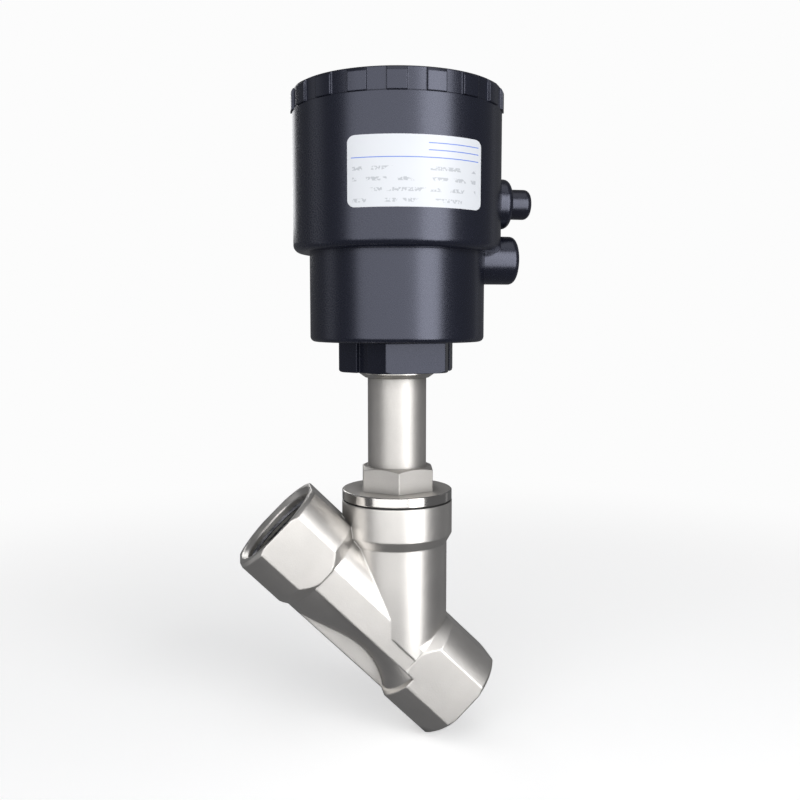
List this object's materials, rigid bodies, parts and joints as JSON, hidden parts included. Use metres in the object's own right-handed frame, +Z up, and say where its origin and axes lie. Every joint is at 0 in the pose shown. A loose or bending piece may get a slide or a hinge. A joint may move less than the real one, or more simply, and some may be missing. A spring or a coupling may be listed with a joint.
{
  "type": "angle seat valve",
  "caption": "Pneumatic angle seat valve with threaded steel Y body, bonnet tube and black swivelling cylinder actuator.",
  "frame": {"origin": "where the stem axis crosses the flow axis of the cast body", "axes": "+Z up along the stem towards the cap; -Y is the front with the label; +X is the side of the outlet and the air ports; the flow axis lies in the XZ plane at 45 degrees"},
  "size_m": [0.1147, 0.0806, 0.2572],
  "materials": {
    "cast_stainless": "bead blasted investment casting",
    "turned_stainless": "satin, machined flange",
    "bright_stainless": "turned",
    "spring_steel": "drawn wire",
    "black_rubber": "matte",
    "bronze": "turned",
    "white_ptfe": "waxy",
    "black_nylon": "satin moulded, glass filled",
    "black_nut": "satin moulded",
    "black_vent": "satin moulded",
    "cast_aluminium": "machined",
    "label_film": "printed film",
    "clear_lens": "clear",
    "red_plastic": "moulded"
  },
  "bodies": {
    "valve": {"body_casting": "cast_stainless", "bonnet": "turned_stainless", "bonnet_gasket": "black_rubber", "guide_bush": "bronze", "packing_bottom_ring": "white_ptfe", "packing_ring_1": "white_ptfe", "packing_ring_2": "white_ptfe", "packing_ring_3": "white_ptfe", "packing_ring_4": "white_ptfe", "packing_top_ring": "white_ptfe", "disc_spring_1": "spring_steel", "disc_spring_2": "spring_steel", "disc_spring_3": "spring_steel", "disc_spring_4": "spring_steel", "spacer_tube": "bright_stainless", "upper_guide_bush": "bronze", "rod_seal": "black_rubber", "gland_screw": "bright_stainless", "support_washer": "bright_stainless", "actuator_nut": "black_nut", "retaining_ring": "spring_steel"},
    "actuator": {"cylinder_housing": "black_nylon", "swivel_oring": "black_rubber", "top_cap": "black_nylon", "cap_oring": "black_rubber", "indicator_lens": "clear_lens", "name_label": "label_film", "vent_plug": "black_vent", "outer_spring": "spring_steel", "inner_spring": "spring_steel"},
    "stem": {"stem": "bright_stainless", "plug_disc": "bright_stainless", "disc_seal": "white_ptfe", "disc_washer": "bright_stainless", "disc_screw": "bright_stainless", "disc_pin": "bright_stainless", "piston": "cast_aluminium", "piston_seal": "black_rubber", "piston_guide_ring": "white_ptfe", "piston_washer": "bright_stainless", "piston_nut": "bright_stainless", "position_indicator": "red_plastic"}
  },
  "joints": [
    {"name": "actuator_swivel", "type": "hinge", "parent": "valve", "child": "actuator", "pos_m": [0, 0, 0.1207], "axis": [0, 0, 1], "continuous": true},
    {"name": "valve_lift", "type": "slide", "parent": "valve", "child": "stem", "axis": [0, 0, 1], "range_m": [0, 0.01], "stiffness_N_per_m": 6000, "springref_m": -0.03, "deforming": ["outer_spring", "inner_spring"]}
  ]
}
